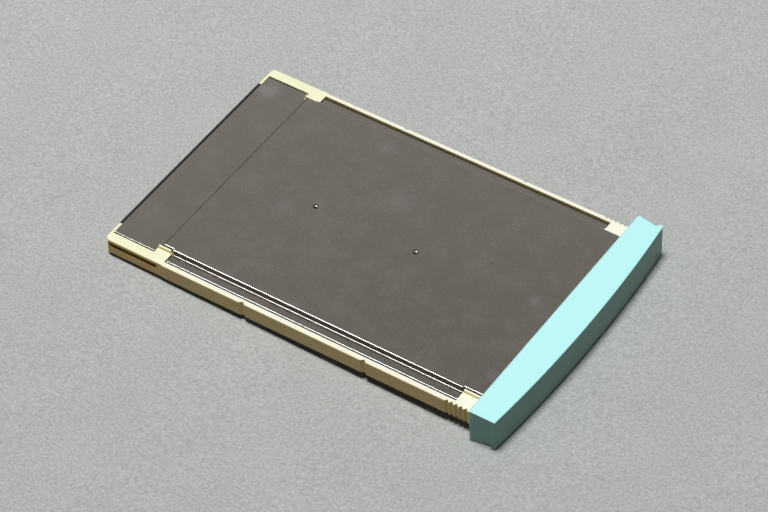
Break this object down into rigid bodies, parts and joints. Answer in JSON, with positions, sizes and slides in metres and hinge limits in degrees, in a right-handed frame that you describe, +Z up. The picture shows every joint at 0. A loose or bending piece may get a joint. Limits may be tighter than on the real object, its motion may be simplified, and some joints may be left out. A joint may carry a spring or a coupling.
{
  "type": "plug-in memory card with grip handle",
  "caption": "Flat plug-in memory card: plastic frame with guide rails, pressed steel covers, 68-way socket end and a bowed grip handle at the rear.",
  "frame": {"origin": "centre of the part's bounding box in plan, on the plane of the lowest edge of the handle", "axes": "+X along the card from the socket face to the handle, +Y across the card, +Z up, square to the covers"},
  "size_m": [0.087, 0.0574, 0.0075],
  "materials": {
    "cream_plastic": "satin moulded cream plastic",
    "teal_plastic": "satin moulded blue-green plastic",
    "stainless_sheet": "smooth bright-rolled stainless sheet",
    "black_plastic": "moulded black plastic",
    "gold_contact": "gold-plated spring strip",
    "board_green": "green solder mask",
    "amber_film": "amber film",
    "black_epoxy": "moulded epoxy",
    "tin_lead": "tinned leads",
    "tan_ceramic": "fired ceramic",
    "tantalum_epoxy": "moulded epoxy"
  },
  "bodies": {
    "root": {"frame": "cream_plastic", "top_cover": "stainless_sheet", "bottom_cover": "stainless_sheet", "handle": "teal_plastic", "socket_housing": "black_plastic", "upper_contacts": "gold_contact", "lower_contacts": "gold_contact", "circuit_board": "board_green", "top_bonding_film": "amber_film", "bottom_bonding_film": "amber_film", "top_insulating_film": "amber_film", "bottom_insulating_film": "amber_film", "top_ground_springs": "gold_contact", "bottom_ground_springs": "gold_contact", "flash_chip_top_left": "black_epoxy", "flash_chip_top_right": "black_epoxy", "flash_chip_bottom_left": "black_epoxy", "flash_chip_bottom_right": "black_epoxy", "flash_chip_leads": "tin_lead", "address_decoder": "black_epoxy", "address_decoder_leads": "tin_lead", "data_buffers": "black_epoxy", "data_buffer_leads": "tin_lead", "attribute_memory": "black_epoxy", "attribute_memory_leads": "tin_lead", "supply_monitor": "black_epoxy", "supply_monitor_leads": "tin_lead", "bypass_capacitors": "tan_ceramic", "resistor_arrays": "black_epoxy", "tantalum_capacitors": "tantalum_epoxy"}
  },
  "joints": []
}
